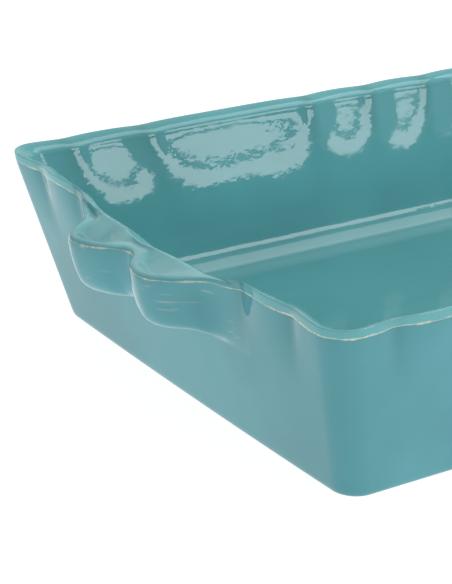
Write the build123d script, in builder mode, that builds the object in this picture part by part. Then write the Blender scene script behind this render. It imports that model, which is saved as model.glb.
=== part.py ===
"""Fluted stoneware baking dish with a two-lobed lug at each end.

Millimetres, +Z up, +X along the dish. The origin is at the middle of the base, on the surface it stands on.
The clay is fired as one piece, so nothing moves. The nodes are the tub, its bare foot, the two lugs that the
dish is carried by, and the inner and outer coats of glaze, which part along the thin bare line that runs
round the shoulder of the rim.
"""
from build123d import *
import math
import os

os.makedirs("parts", exist_ok=True)

# Driving dimensions of the glazed outside
HEIGHT = 71.0
RIM_LENGTH = 390.0
RIM_WIDTH = 236.0
BASE_LENGTH = 355.0
BASE_WIDTH = 204.0
RIM_CORNER = 12.0
BASE_CORNER = 10.0
WALL = 6.0
FLOOR = 7.0
GLAZE = 0.6

# Round edges and hollows
NOSE = WALL / 2
NOSE_LAND = 0.6
INNER_CORNER = 8.0
FLOOR_FILLET = 9.0
BASE_EDGE = 2.5
FOOT_HEIGHT = 1.6
FOOT_WIDTH = 9.0
BREAK_HEIGHT = HEIGHT - 3.4
BREAK_WIDTH = 0.9

# Flutes: shallow lobes that meet in creases. They are deepest at the rim and fade out down the wall.
# Creases are measured from the middle of each side, on the rim.
FLUTE_DEPTH = 3.0
FLUTE_FADE = 30.0
LONG_CREASES = [16.0, 49.0, 132.2, 169.4]
SHORT_CREASES = [89.7, 58.7]
PLAIN_HALF_WIDTH = 52.0
EVEN_SHARES = [step / 6 for step in range(7)]
CORNER_SHARES = [0, 0.08, 0.16, 0.24, 0.3, 0.36, 0.42, 0.48, 0.54, 0.6, 0.68, 0.76, 0.84, 0.92, 1]

# Lugs, measured outwards from the rim and from the middle of the end wall
LUG_REACH = 20.4
LUG_CUSP = 10.5
LUG_LOBE_Y = 21.0
LUG_HALF_WIDTH = 45.0
LUG_BOTTOM = 45.0
LUG_TOP = HEIGHT - 5.0
LUG_ROOT = -12.0
SEAT_HALF_WIDTH = 76.0
SEAT_LENGTH = 60.0
SEAT_HEIGHT = LUG_TOP - 3.5
BASIN_DEPTH = 3.5
BASIN_RADIUS = 9.5
BASIN_REACH = 7.2
# Each level of a lug is a height and how far its outline is drawn in there
LUG_LEVELS = [(LUG_BOTTOM, 6.5), (LUG_BOTTOM + 1.2, 3.6), (LUG_BOTTOM + 4.0, 1.6), (LUG_BOTTOM + 9.0, 0.8)]
LUG_LEVELS += [(LUG_TOP - 4.0, 0.0), (LUG_TOP - 1.8, 0.4), (LUG_TOP - 0.5, 1.5), (LUG_TOP, 3.2)]


def half_sizes(height):
    """Half length, half width and corner radius of the plain outside at a height."""
    share = height / HEIGHT
    half_length = (BASE_LENGTH + (RIM_LENGTH - BASE_LENGTH) * share) / 2
    half_width = (BASE_WIDTH + (RIM_WIDTH - BASE_WIDTH) * share) / 2
    return half_length, half_width, BASE_CORNER + (RIM_CORNER - BASE_CORNER) * share


def flute_depth(height):
    """Depth of the creases at a height: all of it at the rim, none below the fade."""
    rise = min(max((height - (HEIGHT - FLUTE_FADE)) / FLUTE_FADE, 0.0), 1.0)
    return FLUTE_DEPTH * rise * rise * (3 - 2 * rise)


def outline_point(place, dent, half_length, half_width, corner):
    """A point at a distance along a quarter of the outline, pushed inwards by a dent."""
    straight = half_length - corner
    bend = corner * math.pi / 2
    if place <= straight:
        return place, half_width - dent
    if place >= straight + bend:
        return half_length - dent, half_width - corner - (place - straight - bend)
    turn = (place - straight) / corner
    reach = corner - dent
    return straight + reach * math.sin(turn), half_width - corner + reach * math.cos(turn)


def quarter_lobes(height, inset):
    """The lobes from the middle of the long side, round the corner, to the plain middle of the end wall."""
    half_length, half_width, corner = half_sizes(height)
    floor_inset = max(inset - WALL, 0.0)
    long_scale = (half_length - floor_inset) / (RIM_LENGTH / 2)
    short_scale = (half_width - floor_inset) / (RIM_WIDTH / 2)
    corner = max(corner - inset, INNER_CORNER if inset > NOSE else corner / 2)
    half_length -= inset
    half_width -= inset
    total = half_length + half_width - corner * (2 - math.pi / 2)
    creases = [place * long_scale for place in LONG_CREASES]
    creases += [total - place * short_scale for place in SHORT_CREASES]
    starts = [-creases[0]] + creases
    ends = creases + [2 * (total - PLAIN_HALF_WIDTH * short_scale) - creases[-1]]
    shares = [[0.5, 0.75, 1], EVEN_SHARES, EVEN_SHARES, EVEN_SHARES, CORNER_SHARES, EVEN_SHARES, [0, 0.25, 0.5]]
    lobes = []
    for start, end, lobe_shares in zip(starts, ends, shares):
        width = end - start
        power = max(2.0, width / 16)
        lobe = []
        for share in lobe_shares:
            dent = flute_depth(height) * abs(2 * share - 1) ** power
            lobe.append(outline_point(start + share * width, dent, half_length, half_width, corner))
        lobes.append(lobe)
    return lobes


def tub_form(profile):
    """A solid that follows the outline, drawn in by the inset that the profile gives at each height."""
    with BuildPart() as form:
        sections = []
        for height, inset in profile:
            with BuildLine(Plane.XY.offset(height)) as rim:
                for lobe in quarter_lobes(height, inset):
                    Spline(*lobe)
                mirror(about=Plane.XZ)
                end_x, end_y = lobe[-1]
                Line((end_x, end_y), (end_x, -end_y))
                mirror(about=Plane.YZ)
            sections.append(Face(rim.wire()))
        loft(sections, ruled=True)
    return form.part


def outside_profile(skin):
    """Heights and insets of the outside, from the base edge to the crest, at a depth below the glaze."""
    nose = NOSE - skin
    profile = [(0.0, BASE_EDGE + skin), (BASE_EDGE * 0.3, BASE_EDGE * 0.4 + skin), (BASE_EDGE, skin)]
    profile += [(HEIGHT - FLUTE_FADE * share, skin) for share in (1.0, 0.65, 0.3)]
    for turn in (0, 30, 60):
        angle = math.radians(turn)
        profile.append((HEIGHT - NOSE + nose * math.sin(angle), NOSE - nose * math.cos(angle)))
    return profile + [(HEIGHT - skin, NOSE - NOSE_LAND)]


def inside_profile(skin):
    """Heights and insets of the hollow, from the floor to the crest, at a depth below the glaze."""
    nose = NOSE - skin
    floor = FLOOR - skin
    wall = WALL - skin
    profile = []
    for turn in (0, 25, 50, 70, 90):
        angle = math.radians(turn)
        rise = FLOOR_FILLET * (1 - math.cos(angle))
        profile.append((floor + rise, wall + FLOOR_FILLET * (1 - math.sin(angle))))
    profile += [(HEIGHT - FLUTE_FADE * share, wall) for share in (1.0, 0.65, 0.3)]
    for turn in (0, 30, 60):
        angle = math.radians(turn)
        profile.append((HEIGHT - NOSE + nose * math.sin(angle), NOSE + nose * math.cos(angle)))
    return profile + [(HEIGHT - skin, NOSE + NOSE_LAND)]


def lug_outline(inset):
    """The two-lobed outer line of a lug, as (reach past the rim, distance from its middle)."""
    reach = LUG_REACH - inset
    cusp = LUG_CUSP - inset
    side = LUG_HALF_WIDTH - inset
    half = [
        (-4.0, side),
        (reach * 0.45, side - 5.5),
        (reach * 0.86, LUG_LOBE_Y + 11.5 - inset / 2),
        (reach, LUG_LOBE_Y),
        (reach * 0.90, LUG_LOBE_Y - 12.0),
        (cusp + 2.2, 3.4),
        (cusp, 0.0),
    ]
    return half + [(x, -y) for x, y in reversed(half[:-1])]


# Solids that the sub-parts are cut from: the outside and the hollow, at the clay's surface and at the glaze's
clay_outside = tub_form(outside_profile(GLAZE))
clay_hollow = tub_form(inside_profile(GLAZE))
glazed_outside = tub_form(outside_profile(0.0))
glazed_hollow = tub_form(inside_profile(0.0))

# Everything lower than the top of the foot
with BuildPart() as below_foot:
    with BuildSketch(Plane.XY.offset(-HEIGHT)):
        Rectangle(2 * RIM_LENGTH, 2 * RIM_WIDTH)
    extrude(amount=HEIGHT + FOOT_HEIGHT)

# Seats: the gaps in the top of the end walls that the ridges of the lugs fill
with BuildPart() as seats:
    with BuildSketch(Plane.XY.offset(SEAT_HEIGHT)):
        with GridLocations(RIM_LENGTH, 0, 2, 1):
            Rectangle(SEAT_LENGTH, 2 * SEAT_HALF_WIDTH)
    extrude(amount=HEIGHT)

# Everything above the line along which the rim dips between the ends of a lug
with BuildPart() as above_dip:
    with BuildSketch(Plane.YZ.offset(-RIM_LENGTH)):
        with BuildLine():
            fall = HEIGHT - LUG_TOP
            middle = (SEAT_HALF_WIDTH + LUG_HALF_WIDTH) / 2
            shoulder = [(SEAT_HALF_WIDTH, HEIGHT), (middle, HEIGHT - fall / 2), (LUG_HALF_WIDTH, LUG_TOP)]
            shoulder += [(LUG_LOBE_Y, LUG_TOP)]
            crest = Spline(*shoulder, (0.0, LUG_TOP), *[(-y, z) for y, z in reversed(shoulder)])
            Polyline(crest @ 1, (-SEAT_HALF_WIDTH, 2 * HEIGHT), (SEAT_HALF_WIDTH, 2 * HEIGHT), crest @ 0)
        make_face()
    extrude(amount=2 * RIM_LENGTH)

# Foot: a low ring of bare clay under the edge of the base
with BuildPart() as foot_ring:
    add(clay_outside)
    with BuildSketch(Plane.XY.offset(FOOT_HEIGHT)):
        Rectangle(2 * RIM_LENGTH, 2 * RIM_WIDTH)
    extrude(amount=HEIGHT, mode=Mode.SUBTRACT)
    with BuildSketch(Plane.XY.offset(-FOOT_HEIGHT)):
        RectangleRounded(BASE_LENGTH - 2 * FOOT_WIDTH, BASE_WIDTH - 2 * FOOT_WIDTH, BASE_CORNER)
    extrude(amount=3 * FOOT_HEIGHT, mode=Mode.SUBTRACT)

# Tub: the floor and four walls of clay, with a seat for a lug in the top of each end wall
with BuildPart() as tub:
    add(clay_outside)
    add(clay_hollow, mode=Mode.SUBTRACT)
    add(below_foot.part, mode=Mode.SUBTRACT)
    add(seats.part, mode=Mode.SUBTRACT)

# Outer coat of glaze, from the foot up to the bare line on the shoulder of the rim
with BuildPart() as outer_glaze:
    add(glazed_outside)
    add(clay_outside, mode=Mode.SUBTRACT)
    add(below_foot.part, mode=Mode.SUBTRACT)
    with BuildSketch(Plane.XY.offset(BREAK_HEIGHT)):
        Rectangle(2 * RIM_LENGTH, 2 * RIM_WIDTH)
    extrude(amount=HEIGHT, mode=Mode.SUBTRACT)
    add(seats.part, mode=Mode.SUBTRACT)

# Inner coat of glaze: over the crest of the rim from the bare line, then down the walls and over the floor
with BuildPart() as crest_glaze:
    add(glazed_outside)
    with BuildSketch(Plane.XY.offset(-HEIGHT)):
        Rectangle(2 * RIM_LENGTH, 2 * RIM_WIDTH)
    extrude(amount=HEIGHT + BREAK_HEIGHT + BREAK_WIDTH, mode=Mode.SUBTRACT)
    add(clay_outside, mode=Mode.SUBTRACT)
    add(glazed_hollow, mode=Mode.SUBTRACT)
with BuildPart() as inner_glaze:
    add(clay_hollow)
    add(glazed_hollow, mode=Mode.SUBTRACT)
    add(crest_glaze.part)
    add(seats.part, mode=Mode.SUBTRACT)

# Ridges: the strips of rim, in the seats of the tub, that the lobes of the lugs hang from
with BuildPart() as ridges:
    add(glazed_outside)
    add(glazed_hollow, mode=Mode.SUBTRACT)
    add(seats.part, mode=Mode.INTERSECT)
    add(above_dip.part, mode=Mode.SUBTRACT)

# Lobes: the part of a lug that stands out from the end wall, with a finger basin in the top of each lobe
with BuildPart() as lobes:
    rim_end = half_sizes(LUG_TOP)[0]
    for height, inset in LUG_LEVELS:
        with BuildSketch(Plane.XY.offset(height)):
            with BuildLine():
                front = Spline(*[(rim_end + x, y) for x, y in lug_outline(inset)])
                root = rim_end + LUG_ROOT
                Polyline(front @ 1, (root, (front @ 1).Y), (root, (front @ 0).Y), front @ 0)
            make_face()
    loft(ruled=True)
    basin_height = LUG_TOP - BASIN_DEPTH + BASIN_RADIUS
    with Locations(*[(rim_end + BASIN_REACH, side * LUG_LOBE_Y, basin_height) for side in (-1, 1)]):
        Sphere(BASIN_RADIUS, mode=Mode.SUBTRACT)
    add(glazed_outside, mode=Mode.SUBTRACT)

# Right lug, then its mirror image on the other end wall
with BuildPart() as right_lug:
    add(lobes.part)
    add(ridges.solids().sort_by(Axis.X)[-1])
with BuildPart() as left_lug:
    add(right_lug.part)
    mirror(about=Plane.YZ, mode=Mode.REPLACE)

pieces = {
    "tub": tub,
    "foot_ring": foot_ring,
    "inner_glaze": inner_glaze,
    "outer_glaze": outer_glaze,
    "right_lug": right_lug,
    "left_lug": left_lug,
}
for name, piece in pieces.items():
    piece.part.label = name
    export_step(piece.part, f"parts/{name}.step")
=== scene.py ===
"""Looks of the fluted stoneware baking dish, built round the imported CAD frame.

The dish is one continuous surface, worked out on a grid. Its rows run from the middle of the floor, up the
inner wall, over the rim and down the outside to the foot. Its columns, called stations, run round the dish.
Each piece is a coat or a body cut from that grid. The shape code is in millimetres, the meshes in metres.
"""
import math

import bpy
import numpy as np
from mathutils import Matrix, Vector


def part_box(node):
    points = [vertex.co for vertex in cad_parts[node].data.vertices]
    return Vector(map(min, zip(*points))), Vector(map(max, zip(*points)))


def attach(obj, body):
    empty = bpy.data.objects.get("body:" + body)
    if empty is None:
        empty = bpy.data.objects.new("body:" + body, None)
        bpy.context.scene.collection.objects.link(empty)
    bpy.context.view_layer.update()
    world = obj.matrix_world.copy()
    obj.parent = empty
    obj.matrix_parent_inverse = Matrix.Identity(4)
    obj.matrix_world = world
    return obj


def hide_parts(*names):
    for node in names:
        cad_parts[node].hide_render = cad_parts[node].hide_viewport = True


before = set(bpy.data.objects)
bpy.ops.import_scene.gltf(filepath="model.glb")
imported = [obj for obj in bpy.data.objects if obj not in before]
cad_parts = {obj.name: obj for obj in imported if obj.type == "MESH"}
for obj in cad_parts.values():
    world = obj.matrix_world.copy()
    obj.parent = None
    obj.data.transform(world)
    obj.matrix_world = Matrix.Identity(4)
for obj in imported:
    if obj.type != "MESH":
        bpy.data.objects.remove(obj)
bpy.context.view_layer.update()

MM = 0.001

# ---------------------------------------------------------------- sizes, from the frame
_, foot_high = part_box("foot_ring")
_, outer_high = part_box("outer_glaze")
_, inner_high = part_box("inner_glaze")
_, lug_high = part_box("right_lug")

HEIGHT = inner_high.z / MM
FOOT_TOP = foot_high.z / MM
FOOT_INSET = 0.7                # the foot is wiped back this far from the line of the wall
END_BOW = 1.0                   # how far the end walls bow out at the base
BASE_LENGTH = foot_high.x / MM + FOOT_INSET - END_BOW
BASE_WIDTH = foot_high.y / MM + FOOT_INSET

# The CAD's outer coat stops below the crest, so the lean of its walls is carried on up to the full height.
# Lengths and widths are half sizes, measured from the middle of the dish.
CARRIED_UP = inner_high.z / outer_high.z
RIM_LENGTH = BASE_LENGTH + END_BOW + (outer_high.x / MM - BASE_LENGTH - END_BOW) * CARRIED_UP
RIM_WIDTH = BASE_WIDTH + (outer_high.y / MM - BASE_WIDTH) * CARRIED_UP
LEAN_X = (RIM_LENGTH - BASE_LENGTH) / HEIGHT
LEAN_Y = (RIM_WIDTH - BASE_WIDTH) / HEIGHT

BASE_CORNER = 10.0
RIM_CORNER = 12.0
INNER_CORNER = 8.0
NOSE_CORNER = 3.0               # the least corner radius near the outside of the wall
WALL = 6.0
GLAZE = 0.6
FLOOR = 7.0                     # height of the dish's floor
CREST_BACK = 1.1                # the crest of the rim lies this far in from the line of the wall

# Spacing of the stations: coarse and fine on each kind of side, and how far from a crease it is fine
LONG_STEPS = (3.4, 1.4)
END_STEPS = (3.0, 1.25)
CORNER_STEPS = 14
CREASE_ZONE = 8.0
LUG_ZONE = 64.0

# Flutes: soft lobes that meet in creases. Creases are measured from the middle of each side, at the rim.
LONG_CREASES = [16.0, 49.0, 132.2, 169.4]
SHORT_CREASES = [89.7, 58.7]
LAST_LOBE_END = 20.0            # the end of the last lobe, where the lug hides it
LAST_LOBE_RUN = 14.0            # and how soon that lobe dies away past its crease
SHORT_LOBE = 32.0               # lobes up to this long are round, and longer ones flatter in the middle
LOBE_DEPTH = 2.2
LOBE_FADE = 34.0                # depth below the crest at which the lobes have died away
HOLLOW_SOFTNESS = 2.6
GROOVE_DEPTH = 0.5
GROOVE_WIDTH = 2.4
GROOVE_FADE = 19.0
GROOVE_INSIDE = 0.3             # share of a groove's depth that shows on the inner wall

# Rim at a lug. Distances along the end wall are from its middle.
LUG_DIP = 3.9                   # the rim is this much lower at a lug
DIP_FROM, DIP_TO = 41.0, 70.0   # and rises again between these places
DIP_LOW, DIP_HIGH = 42.0, 8.0   # the wall is pressed down by it between these depths below the crest
RIDGE_FLARE = 1.9               # how far the rim leans out to meet a lug
RIDGE_TURN = -0.018             # how much more of it there is for each mm towards the far side
FLARE_FROM, FLARE_TO = 36.0, 52.0
RIDGE_KINK = 2.9                # how much more of it there is between the two lobes
KINK_WIDTH = 9.5
FLARE_FADE = 9.0                # depth over which the flare of the inside dies away
RIDGE_NARROW = 2.2              # how much thinner the ridge between dish and lug is than the rim
NARROW_FROM, NARROW_TO = 58.0, 80.0
RIDGE_DROP = 1.5                # depth below the crest at which the ridge is narrowed the most
CLAY_DROP = 5.0                 # the clay wall stops this far below the ridge
CLAY_FROM, CLAY_TO = 76.0, 90.0
CLAY_INSET = 0.8                # and its cut edge is drawn in this far from the inner wall
CLAY_BACK = 1.4                 # and this far from the outer one

# Lugs
LUG_SPARE = 0.15                # the lips stay this far inside the CAD's box
LUG_REACH = lug_high.x / MM - RIM_LENGTH - LUG_SPARE
LUG_EDGE = 62.0                 # half the stretch of the end wall that belongs to the lug piece
BLEND_FROM, BLEND_TO = 46.0, 60.0   # where the lug runs out into the plain wall
LUG_LOBE = 22.0                 # place of the middle of a lobe
BASIN_WIDTH = 11.5
LUG_SHIFT = -1.7                # the middle of the lips, towards the near side
LUG_DROP = 0.5                  # how far the lips droop
LUG_TILT = 1.4                  # how much more the far lobe droops, and how much less the near one
TILT_FROM, TILT_TO = 40.0, 56.0
FULL_LUG = 8.0                  # reach at which the lug's section has its full shape
LIP_SOFTNESS = 1.2
# Share of the lug's reach that its lip has at each distance from the middle of the lips, on the near side
# and then on the far side, where the lobe runs out more slowly into the wall
LIP_PLACES = [0, 3, 6, 8.5, 11.5, 16, 21.5, 25, 28, 30.5, 33.5, 36, 38, 41, 44, 48, 52, 56, 60]
LOBE_SHARES = [0.42, 0.44, 0.54, 0.65, 0.79, 0.90, 0.98, 1.0, 0.96, 0.90]
NEAR_SHARES = LOBE_SHARES + [0.76, 0.62, 0.48, 0.24, 0.11, 0.05, 0.02, 0, 0]
FAR_SHARES = LOBE_SHARES + [0.77, 0.63, 0.50, 0.34, 0.23, 0.15, 0.08, 0.03, 0]


# ---------------------------------------------------------------- small maths
def smooth(low, high, value):
    """0 below low, 1 above high and an S-curve between."""
    share = np.clip((value - low) / (high - low), 0.0, 1.0)
    return share * share * (3 - 2 * share)


def softened(places, values, spread, wanted):
    """Values, at the wanted places, of the line through places and values with its bends rounded off."""
    step, margin = 0.25, 30
    fine = np.arange(min(places) - margin, max(places) + margin, step)
    reach = np.arange(-4 * spread, 4 * spread + step, step)
    bell = np.exp(-0.5 * (reach / spread) ** 2)
    padded = np.pad(np.interp(fine, places, values), len(reach) // 2, mode="edge")
    rounded = np.convolve(padded, bell / bell.sum(), mode="valid")[:len(fine)]
    return np.interp(wanted, fine[:len(rounded)], rounded)


def unit(vectors):
    """The vectors, each made one long."""
    return vectors / np.maximum(np.linalg.norm(vectors, axis=-1, keepdims=True), 1e-9)


# ---------------------------------------------------------------- stations round the dish
def spaced(length, coarse, fine, zones):
    """Places from 0 to length, closer together within each zone (middle, half width)."""
    places = [0.0]
    while places[-1] < length:
        is_near = any(abs(places[-1] - middle) < half for middle, half in zones)
        places.append(places[-1] + (fine if is_near else coarse))
    return np.array(places) * length / places[-1]


def quarter_stations():
    """Stations from the middle of the long side, round the corner, to the middle of the end wall."""
    long_zones = [(crease, CREASE_ZONE) for crease in LONG_CREASES]
    along = spaced(RIM_LENGTH - RIM_CORNER, *LONG_STEPS, long_zones)
    end_zones = [(0.0, LUG_ZONE)] + [(crease, CREASE_ZONE) for crease in SHORT_CREASES]
    across = spaced(RIM_WIDTH - RIM_CORNER, *END_STEPS, end_zones)
    turns = np.linspace(0, math.pi / 2, CORNER_STEPS + 1)[1:-1]
    stations = [(x / along[-1], 1.0, 0.0, 1.0) for x in along]
    stations += [(1.0, 1.0, math.sin(turn), math.cos(turn)) for turn in turns]
    return stations + [(1.0, y / across[-1], 1.0, 0.0) for y in across[::-1]]


def all_stations():
    """The whole ring, anticlockwise from above: share of each straight, and outward normal."""
    quarter = quarter_stations()
    back = quarter[::-1]
    ring = list(back)
    ring += [(-sx, sy, -nx, ny) for sx, sy, nx, ny in quarter[1:]]
    ring += [(-sx, -sy, -nx, -ny) for sx, sy, nx, ny in back[1:]]
    ring += [(sx, -sy, nx, -ny) for sx, sy, nx, ny in quarter[1:-1]]
    return np.array(ring).T


SHARE_X, SHARE_Y, NORMAL_X, NORMAL_Y = all_stations()
STATIONS = len(SHARE_X)
ON_END = np.abs(NORMAL_X) > 0.999
ALONG_END = SHARE_Y * (RIM_WIDTH - RIM_CORNER)
# Distance of a station from the middle of its end wall, and very far where it isn't on an end wall
ASIDE = np.where(ON_END, np.abs(ALONG_END), 1e3)


def flutes():
    """How deep each station lies in the hollow between two lobes, and in a crease's groove, from 0 to 1."""
    total = RIM_LENGTH + RIM_WIDTH - RIM_CORNER * (2 - math.pi / 2)
    turn = np.arctan2(np.abs(NORMAL_X), np.abs(NORMAL_Y))
    along = np.abs(SHARE_X) * (RIM_LENGTH - RIM_CORNER) + RIM_CORNER * turn
    place = np.where(ON_END, total - ASIDE, along)
    creases = LONG_CREASES + [total - crease for crease in SHORT_CREASES]
    edges = [-LONG_CREASES[0]] + creases + [total - LAST_LOBE_END]
    walk = np.arange(0.0, total, 0.5)
    hollow = np.zeros_like(walk)
    for start, end in zip(edges, edges[1:]):
        share = (walk - start) / (end - start)
        inside = (share >= 0) & (share <= 1)
        flatness = max(2.0, (end - start) / SHORT_LOBE * 2.0)
        hollow[inside] = np.abs(2 * share[inside] - 1) ** flatness
    hollow *= 1 - smooth(edges[-2], edges[-2] + LAST_LOBE_RUN, walk)
    groove = sum(np.exp(-0.5 * ((place - crease) / GROOVE_WIDTH) ** 2) for crease in creases)
    return softened(walk, hollow, HOLLOW_SOFTNESS, place), groove


HOLLOW, GROOVE = flutes()
IN_LUG = 1 - smooth(BLEND_FROM, BLEND_TO, ASIDE)
DIP = LUG_DIP * (1 - smooth(DIP_FROM, DIP_TO, ASIDE))
FLARE = (RIDGE_FLARE + RIDGE_TURN * ALONG_END) * (1 - smooth(FLARE_FROM, FLARE_TO, ASIDE))
FLARE = FLARE + RIDGE_KINK * np.exp(-0.5 * (ASIDE / KINK_WIDTH) ** 2)
RIDGE = FLARE - CREST_BACK
NARROW = RIDGE_NARROW * (1 - smooth(NARROW_FROM, NARROW_TO, ASIDE))
BASIN = np.exp(-(np.abs(ASIDE - LUG_LOBE) / BASIN_WIDTH) ** 4)
TILT = LUG_DROP + LUG_TILT * np.sin(math.pi * ALONG_END / (4 * LUG_LOBE))
TILT = TILT * (1 - smooth(TILT_FROM, TILT_TO, ASIDE))

# Reach of the lip at every station
from_middle = np.where(ON_END, np.clip(ALONG_END - LUG_SHIFT, -LUG_EDGE, LUG_EDGE), LUG_EDGE)
lip_places = [-place for place in LIP_PLACES[:0:-1]] + LIP_PLACES
lip_shares = NEAR_SHARES[:0:-1] + FAR_SHARES
LIP = softened(lip_places, lip_shares, LIP_SOFTNESS, from_middle) * LUG_REACH

# ---------------------------------------------------------------- the wall's section
# Control points of the section, part by part: where offsets past the line of the wall and heights are
# measured from, and then each point's offset, its height and the number of grid rows up to the next one
PARTS = [
    ("floor", -WALL, FLOOR, [(-78, 0, 1), (-46, 0, 1), (-28, 0, 1), (-18, 0, 1), (-12, 0, 2)]),
    ("fillet", -WALL, FLOOR, [(-9.2, 0, 3), (-6.6, 0.4, 3), (-4.5, 1.6, 3), (-2.7, 3.3, 3)]),
    ("fillet", -WALL, FLOOR, [(-1.5, 5.3, 2), (-1.0, 8.5, 2)]),
    ("inside", -WALL, FLOOR, [(-1.3, 13, 2)]),
    ("inside", -WALL, HEIGHT, [(-1.8, -43, 2), (-1.9, -35, 2), (-1.75, -28, 2), (-1.4, -22, 2)]),
    ("inside", -WALL, HEIGHT, [(-1.0, -17, 2), (-0.65, -13, 2), (-0.4, -10, 2), (-0.2, -7.6, 2)]),
    ("inside", -WALL, HEIGHT, [(-0.1, -5.8, 2)]),
    ("bead", -WALL, HEIGHT, [(-0.05, -4.6, 2), (-0.1, -3.7, 2), (0, -2.95, 2), (0.4, -2.25, 2)]),
    ("bead", -WALL, HEIGHT, [(1.0, -1.7, 2), (1.8, -1.25, 2), (2.6, -0.85, 2), (3.4, -0.5, 2)]),
    ("bead", -WALL, HEIGHT, [(4.2, -0.2, 2)]),
    ("crest", 0, HEIGHT, [(-CREST_BACK, 0, 2)]),
    ("nose", 0, HEIGHT, [(-0.95, -0.05, 2), (-0.85, -0.14, 1), (-0.76, -0.27, 1), (-0.68, -0.45, 1)]),
    ("nose", 0, HEIGHT, [(-0.6, -0.7, 1), (-0.52, -1.0, 2), (-0.44, -1.35, 2), (-0.36, -1.75, 2)]),
    ("nose", 0, HEIGHT, [(-0.28, -2.2, 2), (-0.21, -2.65, 2), (-0.17, -3.0, 2)]),
    ("break", 0, HEIGHT, [(-0.13, -3.3, 2)]),
    ("outside", 0, HEIGHT, [(-0.09, -3.8, 2), (-0.04, -4.8, 2)]),
    ("outside", 0, HEIGHT, [(0, -drop, 2) for drop in (7, 11, 15, 18, 20.5, 22.5, 24.5, 27, 30, 34)]),
    ("outside", 0, HEIGHT, [(0, -39, 1), (0, -45, 1)]),
    ("outside", 0, 0, [(0, 18, 1), (0, 11, 1), (0, 6, 1), (0, 3.2, 1), (-0.05, 1.8, 1), (-0.35, 0.9, 1)]),
    ("foot", 0, 0, [(-1.0, 0.3, 1), (-2.2, 0, 1), (-3.5, 0, 1), (-8.5, 0, 1)]),
    ("foot", 0, 0, [(-9.6, 0.1, 1), (-10.2, 0.9, 1)]),
    ("foot", 0, FOOT_TOP, [(-10.9, 0, 1)]),
    ("base", 0, FOOT_TOP, [(-13, 0, 1), (-22, 0, 1), (-50, 0, 1), (-80, 0, 1)]),
]
SECTION = [(name, across + offset, level + height, rows)
           for name, across, level, points in PARTS for offset, height, rows in points]
NAMES = [name for name, _, _, _ in SECTION]
CREST = NAMES.index("crest")
BREAK = NAMES.index("break")

# The lug's section, from the crest outwards. Its points stand in for the wall's own points past the crest.
# First the basin: share of the way to the foot of the lip, the drop on the saddle between the two lobes and
# the drop in the middle of a lobe. Then the lip: distance back from its front, and both drops.
BASIN_POINTS = [(0.08, 0.1, 0.1), (0.19, 0.3, 0.6), (0.37, 0.5, 1.3)]
BASIN_POINTS += [(0.56, 0.6, 2.1), (0.75, 0.7, 2.8), (0.92, 0.75, 3.2)]
LIP_POINTS = [(6.2, 0.75, 3.1), (5.0, 0.75, 2.5), (3.7, 0.7, 1.5)]
LIP_POINTS += [(2.3, 0.7, 0.8), (0.9, 1.05, 1.05), (0.1, 2.2, 2.2)]
# Its front and underside: drop below the crest, distance back from the front, least share of the reach
FRONT_POINTS = [(4.0, 0.0, 0.9), (8.5, 0.6, 0.85), (13.0, 1.5, 0.78), (17.5, 2.6, 0.7), (20.6, 3.8, 0.6)]
FRONT_POINTS += [(22.6, 6.0, 0.5), (23.8, 9.0, 0.38), (25.0, 99.0, 0.28), (26.2, 99.0, 0.1)]
FRONT_POINTS += [(27.2, 99.0, 0.0), (28.4, 99.0, 0.0)]


def plain_section():
    """Offsets and heights of the plain wall's control points at every station, with its dip and flare."""
    offsets = np.array([[offset] * STATIONS for _, offset, _, _ in SECTION])
    heights = np.array([[height] * STATIONS for _, _, height, _ in SECTION])
    is_inside = np.arange(len(SECTION))[:, None] < BREAK
    offsets = offsets + np.where(is_inside, FLARE * np.exp(-(HEIGHT - heights) / FLARE_FADE), 0.0)
    drop = (HEIGHT - heights) / RIDGE_DROP
    is_rim = np.arange(len(SECTION))[:, None] < CREST
    offsets = offsets + np.where(is_rim, NARROW * drop * np.exp(1 - drop), 0.0)
    offsets[CREST + 1:] = np.minimum(offsets[CREST + 1:], 0.0)
    return offsets, heights - DIP * smooth(HEIGHT - DIP_LOW, HEIGHT - DIP_HIGH, heights)


def clay_section(offsets, heights):
    """The same control points for the clay wall, cut level below the ridge of a lug."""
    level = HEIGHT - DIP - CLAY_DROP * (1 - smooth(CLAY_FROM, CLAY_TO, ASIDE))
    is_inside = np.arange(len(SECTION))[:, None] < CREST
    drawn_in = np.minimum(offsets + np.where(is_inside, CLAY_INSET, 0.0), -CLAY_BACK)
    return np.where(heights > level + 0.01, drawn_in, offsets), np.minimum(heights, level)


def lug_section(offsets, heights):
    """The same control points where there is a lug, its section made smaller where it reaches out less."""
    offsets, heights = offsets.copy(), heights.copy()
    top = HEIGHT - DIP
    shrink = np.clip((LIP - RIDGE) / FULL_LUG, 0.0, 1.0)
    lip_foot = LIP - LIP_POINTS[0][0] * shrink
    rows = [(RIDGE + share * (lip_foot - RIDGE), saddle + (basin - saddle) * BASIN)
            for share, saddle, basin in BASIN_POINTS]
    rows += [(LIP - back * shrink, saddle + (basin - saddle) * BASIN) for back, saddle, basin in LIP_POINTS]
    rows += [(np.maximum(LIP - back * shrink, least * LIP), drop) for drop, back, least in FRONT_POINTS]
    for control, (offset, drop) in enumerate(rows, CREST + 1):
        heights[control] = top - drop - TILT * min(1.0, (control - CREST) / len(BASIN_POINTS))
        stands_out = np.clip(offset / np.maximum(LIP, FULL_LUG), 0.0, 1.0)
        offsets[control] = offset + LEAN_X * (HEIGHT - heights[control]) * stands_out
    return offsets, heights


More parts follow.
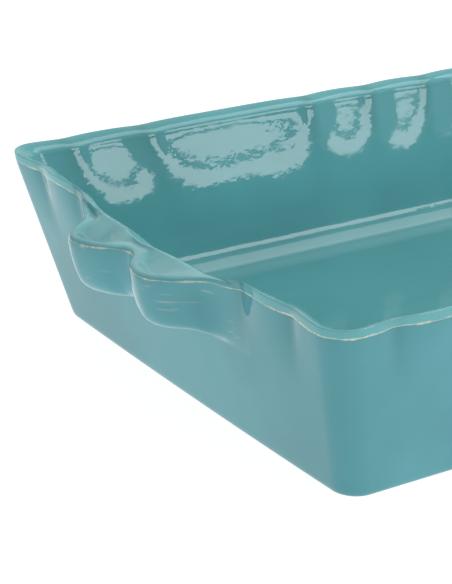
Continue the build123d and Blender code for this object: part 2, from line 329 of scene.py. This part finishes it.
def spline_rows(points):
    """Rows of a uniform cubic B-spline over control rows, from the first one to the last one."""
    steps = [1] + [step for _, _, _, step in SECTION]
    points = np.concatenate([points[:1], points[:1], points, points[-1:], points[-1:]])
    rows = []
    for span, count in enumerate(steps):
        for step in range(count):
            t = step / count
            blend = [(1 - t) ** 3, 3 * t ** 3 - 6 * t ** 2 + 4]
            blend += [-3 * t ** 3 + 3 * t ** 2 + 3 * t + 1, t ** 3]
            rows.append(sum(share * points[span + k] for k, share in enumerate(blend)) / 6)
    rows.append(points[-1])
    return np.array(rows)


def row_at(control):
    """The row that passes by a control point."""
    return 1 + sum(step for _, _, _, step in SECTION[:control])


def surface(offsets, heights):
    """Positions of every row and station, from the offsets and heights of the control points.

    Offsets inward move a point in from both sides of a corner. Offsets outward are only taken on the ends.
    """
    offsets, heights = spline_rows(offsets), spline_rows(heights)
    drop = HEIGHT - heights
    rows = np.arange(len(heights))[:, None]
    outside = smooth(row_at(CREST) + 8, row_at(BREAK), rows)
    inside = GROOVE_INSIDE * smooth(2.0, 8.0, drop) * (rows < row_at(CREST))
    dent = LOBE_DEPTH * HOLLOW * (1 - smooth(0, LOBE_FADE, drop))
    dent = dent + GROOVE_DEPTH * GROOVE * (outside + inside) * (1 - smooth(1.0, GROOVE_FADE, drop))
    half_x = BASE_LENGTH + LEAN_X * heights
    half_y = BASE_WIDTH + LEAN_Y * heights
    back = np.minimum(offsets, 0)
    corner = BASE_CORNER + (RIM_CORNER - BASE_CORNER) * heights / HEIGHT + back
    least_corner = INNER_CORNER - (INNER_CORNER - NOSE_CORNER) * smooth(-5, -1, offsets)
    corner = np.maximum(corner, least_corner)
    in_wall = 1 - smooth(0.5, 5.0, offsets)
    reach = corner + np.where(ON_END, np.maximum(offsets, 0), 0) - dent * in_wall
    bow = END_BOW * (1 - heights / HEIGHT) * (1 - SHARE_Y ** 2) * np.sign(SHARE_X) * ON_END
    x = SHARE_X * (half_x + back - corner) + NORMAL_X * reach + bow
    y = SHARE_Y * (half_y + back - corner) + NORMAL_Y * reach
    return np.stack([x, y, heights], axis=-1)


def grid_normals(points):
    """Outward normals of the grid, from the neighbours of each point along its row and its station."""
    along = np.roll(points, -1, axis=1) - np.roll(points, 1, axis=1)
    down = np.empty_like(points)
    down[1:-1] = points[2:] - points[:-2]
    down[0] = points[1] - points[0]
    down[-1] = points[-1] - points[-2]
    normals = unit(np.cross(down, along))
    normals[:3] = (0.0, 0.0, 1.0)
    normals[-3:] = (0.0, 0.0, -1.0)
    return normals


plain_offsets, plain_heights = plain_section()
lug_offsets, lug_heights = lug_section(plain_offsets, plain_heights)
GLAZED = surface(plain_offsets + (lug_offsets - plain_offsets) * IN_LUG,
                 plain_heights + (lug_heights - plain_heights) * IN_LUG)
GLAZED_NORMALS = grid_normals(GLAZED)
PLAIN = surface(*clay_section(plain_offsets, plain_heights))
CLAY_NORMALS = grid_normals(PLAIN)
CLAY = PLAIN - CLAY_NORMALS * GLAZE
ROWS = len(GLAZED)

# Rows at which the pieces part from each other
SEAT_ROW = row_at(NAMES.index("bead"))
LINE_ROW = row_at(BREAK)
LUG_ROW = row_at(BREAK + len(FRONT_POINTS))
FOOT_ROW = row_at(NAMES.index("foot"))
BASE_ROW = row_at(NAMES.index("base") - 1)

ROW = np.arange(ROWS)[:, None]

# Distance of every point from the bare line, along its station and positive down the outside
walked = np.cumsum(np.linalg.norm(np.diff(GLAZED, axis=0), axis=-1), axis=0)
FROM_LINE = np.concatenate([np.zeros((1, STATIONS)), walked])
FROM_LINE = FROM_LINE - FROM_LINE[LINE_ROW]

# How deep the glaze pools, partly real pooling and partly painted shade: darker in the creases near the rim,
# and over the floor of the dish
in_creases = GROOVE * (1 - smooth(1.0, 30.0, HEIGHT - GLAZED[:, :, 2]))
on_floor = 0.9 * (1 - smooth(FLOOR, FLOOR + 7, GLAZED[:, :, 2])) * (ROW < row_at(CREST))
POOLED_AND_SHADE = np.maximum(in_creases, on_floor)

# How thin the glaze runs, partly real thin glaze and partly painted sheen: paler on the upward-facing tops
# of the lugs, and a painted highlight along the crest all the way round
on_top = smooth(0.3, 0.95, GLAZED_NORMALS[:, :, 2]) * smooth(HEIGHT - 12, HEIGHT - 5, GLAZED[:, :, 2])
from_crest = (ROW - row_at(CREST)) / 4.0
THIN_AND_SHEEN = 0.95 * on_top * IN_LUG * (1 - 0.4 * BASIN) + 0.4 * np.exp(-from_crest ** 2)


# ---------------------------------------------------------------- meshes
def quads(mask):
    """The grid's quads, as point numbers, where the mask of rows by stations is true."""
    index = np.arange(ROWS * STATIONS).reshape(ROWS, STATIONS)
    beside = np.roll(index, -1, axis=1)
    return np.stack([index[:-1], index[1:], beside[1:], beside[:-1]], axis=-1)[mask]


def make_piece(name, points, faces, corner_normals, values, material, node):
    """A mesh with its corner normals and the values that its glaze is coloured by, standing for a node."""
    mesh = bpy.data.meshes.new(name)
    mesh.from_pydata((points * MM).tolist(), [], faces)
    mesh.polygons.foreach_set("use_smooth", [True] * len(faces))
    mesh.normals_split_custom_set(corner_normals.tolist())
    for label, numbers in values.items():
        attribute = mesh.attributes.new(label, "FLOAT", "POINT")
        attribute.data.foreach_set("value", numbers.astype(np.float32))
    mesh.materials.append(material)
    piece = bpy.data.objects.new(name, mesh)
    bpy.context.scene.collection.objects.link(piece)
    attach(piece, "root")
    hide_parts(node)


def make_coat(name, mask, material, node, has_floor=False):
    """A closed coat: a masked patch of the glazed surface, the clay under it and strips round their edges.

    With has_floor the patch starts at the middle of the dish's floor, where a fan closes each layer.
    """
    used, top = np.unique(quads(mask), return_inverse=True)
    top = top.reshape(-1, 4)
    count = len(used)
    low = top[:, ::-1] + count
    points = np.concatenate([GLAZED.reshape(-1, 3)[used], CLAY.reshape(-1, 3)[used]])
    normals = np.concatenate([GLAZED_NORMALS.reshape(-1, 3)[used], -CLAY_NORMALS.reshape(-1, 3)[used]])
    faces = top.tolist() + low.tolist()
    corner_normals = [normals[top].reshape(-1, 3), normals[low].reshape(-1, 3)]
    edges = np.concatenate([np.stack([top[:, k], top[:, (k + 1) % 4]], axis=-1) for k in range(4)])
    is_open = ~np.isin(edges[:, 0] * count + edges[:, 1], edges[:, 1] * count + edges[:, 0])
    edges = edges[is_open]
    if has_floor:
        is_floor = (edges < STATIONS).all(axis=1)
        for layer, order in ((0, (1, 0)), (count, (0, 1))):
            middle = points[:STATIONS].mean(axis=0) + (points[layer] - points[0]) * (0, 0, 1)
            fan = edges[is_floor][:, order] + layer
            fan = np.column_stack([fan, np.full(len(fan), len(points))])
            points = np.concatenate([points, middle[None]])
            faces += fan.tolist()
            corner_normals.append(np.tile(normals[layer], (fan.size, 1)))
        edges = edges[~is_floor]
    strips = np.column_stack([edges[:, 1], edges[:, 0], edges[:, 0] + count, edges[:, 1] + count])
    corners = points[strips]
    facing = unit(np.cross(corners[:, 2] - corners[:, 0], corners[:, 3] - corners[:, 1]))
    faces += strips.tolist()
    corner_normals.append(np.repeat(facing, 4, axis=0))
    extra = len(points) - 2 * count
    values = {}
    grids = (("from_line", FROM_LINE, -99.0), ("pooled_and_shade", POOLED_AND_SHADE, 0.0), ("thin_and_sheen", THIN_AND_SHEEN, 0.0))
    for label, grid, rest in grids:
        values[label] = np.concatenate([np.tile(grid.reshape(-1)[used], 2), np.full(extra, rest)])
    make_piece(name, points, faces, np.concatenate(corner_normals), values, material, node)


def make_body(name, points, normals, material, node, is_ring):
    """A closed body from rows of points: a ring closed by a strip, or a block closed by a fan at each end.

    Lids and strips face straight up or down.
    """
    count = len(points)
    index = np.arange(count * STATIONS).reshape(count, STATIONS)
    beside = np.roll(index, -1, axis=1)
    skin = np.stack([index[:-1], index[1:], beside[1:], beside[:-1]], axis=-1).reshape(-1, 4)
    points = points.reshape(-1, 3)
    faces = skin.tolist()
    corner_normals = [normals.reshape(-1, 3)[skin].reshape(-1, 3)]
    if is_ring:
        lids = [(np.column_stack([index[0], beside[0], beside[-1], index[-1]]), 1.0)]
    else:
        points = np.concatenate([points] + [points[index[end]].mean(axis=0)[None] for end in (0, -1)])
        middle = np.full(STATIONS, index.size)
        lids = [(np.column_stack([index[0], beside[0], middle]), 1.0)]
        lids += [(np.column_stack([beside[-1], index[-1], middle + 1]), -1.0)]
    for lid, upward in lids:
        faces += lid.tolist()
        corner_normals.append(np.tile((0.0, 0.0, upward), (lid.size, 1)))
    make_piece(name, points, faces, np.concatenate(corner_normals), {}, material, node)


# ---------------------------------------------------------------- materials
def maths(tree, operation, first, second):
    """A maths node. Each of first and second is a socket or a number."""
    node = tree.nodes.new("ShaderNodeMath")
    node.operation = operation
    for socket, value in zip(node.inputs, (first, second)):
        if isinstance(value, (int, float)):
            socket.default_value = value
        else:
            tree.links.new(value, socket)
    return node.outputs[0]


def ramp(tree, value, low, high, first, last):
    """A smooth change from first to last as value goes from low to high."""
    node = tree.nodes.new("ShaderNodeMapRange")
    node.interpolation_type = "SMOOTHSTEP"
    tree.links.new(value, node.inputs["Value"])
    for key, number in (("From Min", low), ("From Max", high), ("To Min", first), ("To Max", last)):
        node.inputs[key].default_value = number
    return node.outputs["Result"]


def noise(tree, place, scale, detail=2.0, roughness=0.5):
    """The value of a noise over the object's own coordinates, in metres."""
    node = tree.nodes.new("ShaderNodeTexNoise")
    tree.links.new(place, node.inputs["Vector"])
    node.inputs["Scale"].default_value = scale
    node.inputs["Detail"].default_value = detail
    node.inputs["Roughness"].default_value = roughness
    return node.outputs["Fac"]


def mesh_value(tree, label):
    """The value that the mesh carries under a label."""
    node = tree.nodes.new("ShaderNodeAttribute")
    node.attribute_name = label
    return node.outputs["Fac"]


def bump(tree, height, distance, normal=None):
    """The normal made by a height that is distance metres at 1, on top of another normal if there is one."""
    node = tree.nodes.new("ShaderNodeBump")
    node.inputs["Distance"].default_value = distance
    tree.links.new(height, node.inputs["Height"])
    if normal:
        tree.links.new(normal, node.inputs["Normal"])
    return node.outputs["Normal"]


def blend_colours(tree, share, first, second):
    """A mix of two colours, each of them a socket or a colour."""
    node = tree.nodes.new("ShaderNodeMix")
    node.data_type = "RGBA"
    tree.links.new(share, node.inputs["Factor"])
    for socket, colour in ((node.inputs[6], first), (node.inputs[7], second)):
        if isinstance(colour, tuple):
            socket.default_value = (*colour, 1.0)
        else:
            tree.links.new(colour, socket)
    return node.outputs[2]


def new_material(name):
    """A material, its node tree, its shader and the object's own coordinates in metres."""
    material = bpy.data.materials.new(name)
    material.use_nodes = True
    tree = material.node_tree
    place = tree.nodes.new("ShaderNodeTexCoord").outputs["Object"]
    return material, tree, tree.nodes["Principled BSDF"], place


def shade(colour, share, lift=0.0):
    """A colour with its channels multiplied by a share and then raised."""
    return tuple(channel * share + lift for channel in colour)


# One teal glaze in two tones, lit and shaded copies of it: the inner coat's is painted lighter, and the
# outer coat's and the lugs' painted darker
INNER_TEAL_PAINTED_LIGHTER = (0.128, 0.430, 0.458)
OUTER_TEAL_PAINTED_DARKER = (0.090, 0.328, 0.370)
# paler glaze where it runs thin, also a painted sheen on the lug tops and a painted highlight along the
# crest
THIN_GLAZE_AND_SHEEN = (0.34, 0.74, 0.74)
BARE_CLAY = (0.74, 0.68, 0.50)
CLAY_DARK = (0.50, 0.39, 0.23)
CLAY_LIGHT = (0.62, 0.51, 0.33)

FLAT_WAVE = 0.0002              # height in metres of the slow waves in the outer glaze
INNER_WAVE = 0.00032
RIPPLE = 0.00005                # and of the finer ripples on top of them
STREAK_SCALE = (90.0, 90.0, 620.0)   # streaks per metre: many more in height than in length
INNER_INDEX = 1.46              # refractive indices
OUTER_INDEX = 1.34
LUG_INDEX = 1.44


def brush_streaks(tree, place):
    """Short level brush streaks, where the glaze has dragged and lets the clay show through."""
    mapping = tree.nodes.new("ShaderNodeMapping")
    mapping.inputs["Scale"].default_value = STREAK_SCALE
    tree.links.new(place, mapping.inputs["Vector"])
    streak = ramp(tree, noise(tree, mapping.outputs["Vector"], 1.0, 2.0, 0.6), 0.58, 0.76, 0.0, 0.28)
    patch = ramp(tree, noise(tree, place, 38.0, 1.0), 0.50, 0.62, 0.0, 1.0)
    return maths(tree, "MULTIPLY", streak, patch)


def bare_line(tree, place):
    """The wandering line of bare clay along the edge of the rim, 1 where no glaze is left."""
    wander = maths(tree, "SUBTRACT", noise(tree, place, 95.0, 2.0), 0.5)
    away = maths(tree, "ADD", mesh_value(tree, "from_line"), maths(tree, "MULTIPLY", wander, 1.6))
    width = ramp(tree, noise(tree, place, 130.0, 3.0, 0.6), 0.36, 0.66, 0.05, 0.38)
    bare = maths(tree, "SUBTRACT", width, maths(tree, "ABSOLUTE", away, 0.0))
    speckle = ramp(tree, noise(tree, place, 900.0, 2.0), 0.35, 0.6, 0.55, 1.0)
    return maths(tree, "MULTIPLY", ramp(tree, bare, -0.25, 0.2, 0.0, 0.85), speckle)


def glaze_material(name, colour, index, wave, is_streaked=False):
    """Glossy glaze, darker where it pools and with painted shade in the creases and over the floor, paler
    where it is thin and with a painted sheen on the lug tops and a painted highlight along the crest, and
    broken to bare clay along the line.

    index is its refractive index and wave the height of its slow waves in metres.
    """
    material, tree, shader, place = new_material(name)
    deep = shade(colour, 0.80)
    clouds = ramp(tree, noise(tree, place, 14.0, 3.0), 0.35, 0.65, 0.0, 1.0)
    base = blend_colours(tree, clouds, shade(colour, 0.95), shade(colour, 1.10, 0.006))
    # darker glaze where it pools, partly painted shade in the creases and over the floor of the dish
    base = blend_colours(tree, maths(tree, "MULTIPLY", mesh_value(tree, "pooled_and_shade"), 0.7), base, deep)
    patchy = ramp(tree, noise(tree, place, 70.0, 3.0), 0.3, 0.7, 0.55, 1.0)
    # paler where the glaze runs thin, partly a painted sheen on the tops and a painted highlight along the
    # crest
    thin_and_sheen = maths(tree, "MULTIPLY", mesh_value(tree, "thin_and_sheen"), patchy)
    base = blend_colours(tree, maths(tree, "MULTIPLY", thin_and_sheen, 0.7), base, THIN_GLAZE_AND_SHEEN)
    flecks = ramp(tree, noise(tree, place, 520.0, 2.0), 0.72, 0.80, 0.0, 0.35)
    base = blend_colours(tree, flecks, base, deep)
    if is_streaked:
        base = blend_colours(tree, brush_streaks(tree, place), base, BARE_CLAY)
    bare = bare_line(tree, place)
    base = blend_colours(tree, bare, base, BARE_CLAY)
    gloss = ramp(tree, noise(tree, place, 60.0, 2.0), 0.3, 0.7, 0.03, 0.06)
    gloss = maths(tree, "ADD", gloss, maths(tree, "MULTIPLY", bare, 0.3))
    tree.links.new(base, shader.inputs["Base Color"])
    tree.links.new(gloss, shader.inputs["Roughness"])
    shader.inputs["IOR"].default_value = index
    waves = bump(tree, noise(tree, place, 34.0, 2.0, 0.4), wave)
    tree.links.new(bump(tree, noise(tree, place, 230.0), RIPPLE, waves), shader.inputs["Normal"])
    return material


def clay_material(name):
    """Unglazed fired clay."""
    material, tree, shader, place = new_material(name)
    grain = ramp(tree, noise(tree, place, 260.0, 4.0, 0.6), 0.3, 0.7, 0.0, 1.0)
    tree.links.new(blend_colours(tree, grain, CLAY_DARK, CLAY_LIGHT), shader.inputs["Base Color"])
    shader.inputs["Roughness"].default_value = 0.75
    tree.links.new(bump(tree, noise(tree, place, 700.0, 3.0), 0.0001), shader.inputs["Normal"])
    return material


# the inner coat takes the teal painted lighter, the outer coat and the lugs the teal painted darker
inner_look = glaze_material("inner_glaze", INNER_TEAL_PAINTED_LIGHTER, INNER_INDEX, INNER_WAVE)
outer_look = glaze_material("outer_glaze", OUTER_TEAL_PAINTED_DARKER, OUTER_INDEX, FLAT_WAVE)
lug_look = glaze_material("lug_glaze", OUTER_TEAL_PAINTED_DARKER, LUG_INDEX, FLAT_WAVE, True)
clay_look = clay_material("stoneware")
foot_look = clay_material("bare_foot")

# ---------------------------------------------------------------- pieces
quad_row = ROW[:-1]
in_lug_band = (ASIDE < LUG_EDGE) & (np.roll(ASIDE, -1) < LUG_EDGE)
is_lug = (quad_row >= SEAT_ROW) & (quad_row < LUG_ROW) & in_lug_band
is_inner = (quad_row < LINE_ROW) & ~is_lug
is_outer = (quad_row >= LINE_ROW) & (quad_row < FOOT_ROW) & ~is_lug
is_right = NORMAL_X > 0
make_coat("inner_coat", is_inner, inner_look, "inner_glaze", True)
make_coat("outer_coat", is_outer, outer_look, "outer_glaze")
make_coat("lug_right", is_lug & is_right, lug_look, "right_lug")
make_coat("lug_left", is_lug & ~is_right, lug_look, "left_lug")

clay = CLAY.copy()
clay[FOOT_ROW:] = PLAIN[FOOT_ROW:]
clay[FOOT_ROW:, :, 2] = FOOT_TOP
clay_normals = CLAY_NORMALS.copy()
clay_normals[FOOT_ROW:] = (0.0, 0.0, -1.0)
make_body("clay_tub", clay, clay_normals, clay_look, "tub", False)
ring = slice(FOOT_ROW, BASE_ROW + 1)
make_body("foot", PLAIN[ring], CLAY_NORMALS[ring], foot_look, "foot_ring", True)

# ---------------------------------------------------------------- floor, light and camera
scene = bpy.context.scene

WHITE = (1.0, 1.0, 1.0, 1.0)
FLOOR_SIZE = 12.0
FLOOR_GREY = (0.30, 0.30, 0.30, 1.0)
FLOOR_GLOW = 0.92               # so that the floor reads as white paper that takes only a faint shadow
SKY_STRENGTH = 0.48

EYE = (-0.5243, -0.5793, 0.3108)
EYE_PITCH = 21.642              # degrees below level
EYE_TURN = 32.197               # degrees from +Y towards +X
FOCAL_LENGTH = 120.84           # millimetres, over a sensor SENSOR_WIDTH wide
SENSOR_WIDTH = 36.0
SHIFT = (-0.0061, 0.0006)


def add_floor():
    """A plain pale studio floor."""
    bpy.ops.mesh.primitive_plane_add(size=FLOOR_SIZE)
    floor = bpy.context.object
    floor.name = "floor"
    material = bpy.data.materials.new("studio_floor")
    material.use_nodes = True
    shader = material.node_tree.nodes["Principled BSDF"]
    shader.inputs["Base Color"].default_value = FLOOR_GREY
    shader.inputs["Roughness"].default_value = 1.0
    shader.inputs["Specular IOR Level"].default_value = 0.0
    shader.inputs["Emission Color"].default_value = WHITE
    shader.inputs["Emission Strength"].default_value = FLOOR_GLOW
    floor.data.materials.append(material)


def add_softbox(name, place, target, width, height, watts):
    """A soft rectangular light at a place, facing a target."""
    light = bpy.data.lights.new(name, "AREA")
    light.shape = "RECTANGLE"
    light.size = width
    light.size_y = height
    light.energy = watts
    box = bpy.data.objects.new(name, light)
    box.location = place
    box.rotation_euler = (Vector(target) - Vector(place)).to_track_quat("-Z", "Y").to_euler()
    scene.collection.objects.link(box)


add_floor()
ORIGIN = (0.0, 0.0, 0.0)
DISH = (0.0, 0.0, 0.1)
add_softbox("overhead", (0.9, -0.1, 2.0), ORIGIN, 1.6, 1.4, 17.9)
add_softbox("backdrop", (1.17, 1.87, 0.95), DISH, 3.0, 1.2, 2.4)
add_softbox("window_low", (0.99, -1.74, 0.355), DISH, 0.76, 0.15, 1.8)
add_softbox("window_high", (0.97, -1.70, 0.70), DISH, 0.76, 0.46, 5.4)

world = bpy.data.worlds.new("studio")
world.use_nodes = True
world.node_tree.nodes["Background"].inputs["Color"].default_value = WHITE
world.node_tree.nodes["Background"].inputs["Strength"].default_value = SKY_STRENGTH
scene.world = world
scene.view_settings.view_transform = "Standard"

camera = bpy.data.cameras.new("camera")
camera.lens = FOCAL_LENGTH
camera.sensor_width = SENSOR_WIDTH
camera.shift_x, camera.shift_y = SHIFT
camera.dof.use_dof = False
eye = bpy.data.objects.new("camera", camera)
eye.location = EYE
eye.rotation_euler = (math.radians(90 - EYE_PITCH), 0.0, math.radians(-EYE_TURN))
scene.collection.objects.link(eye)
scene.camera = eye
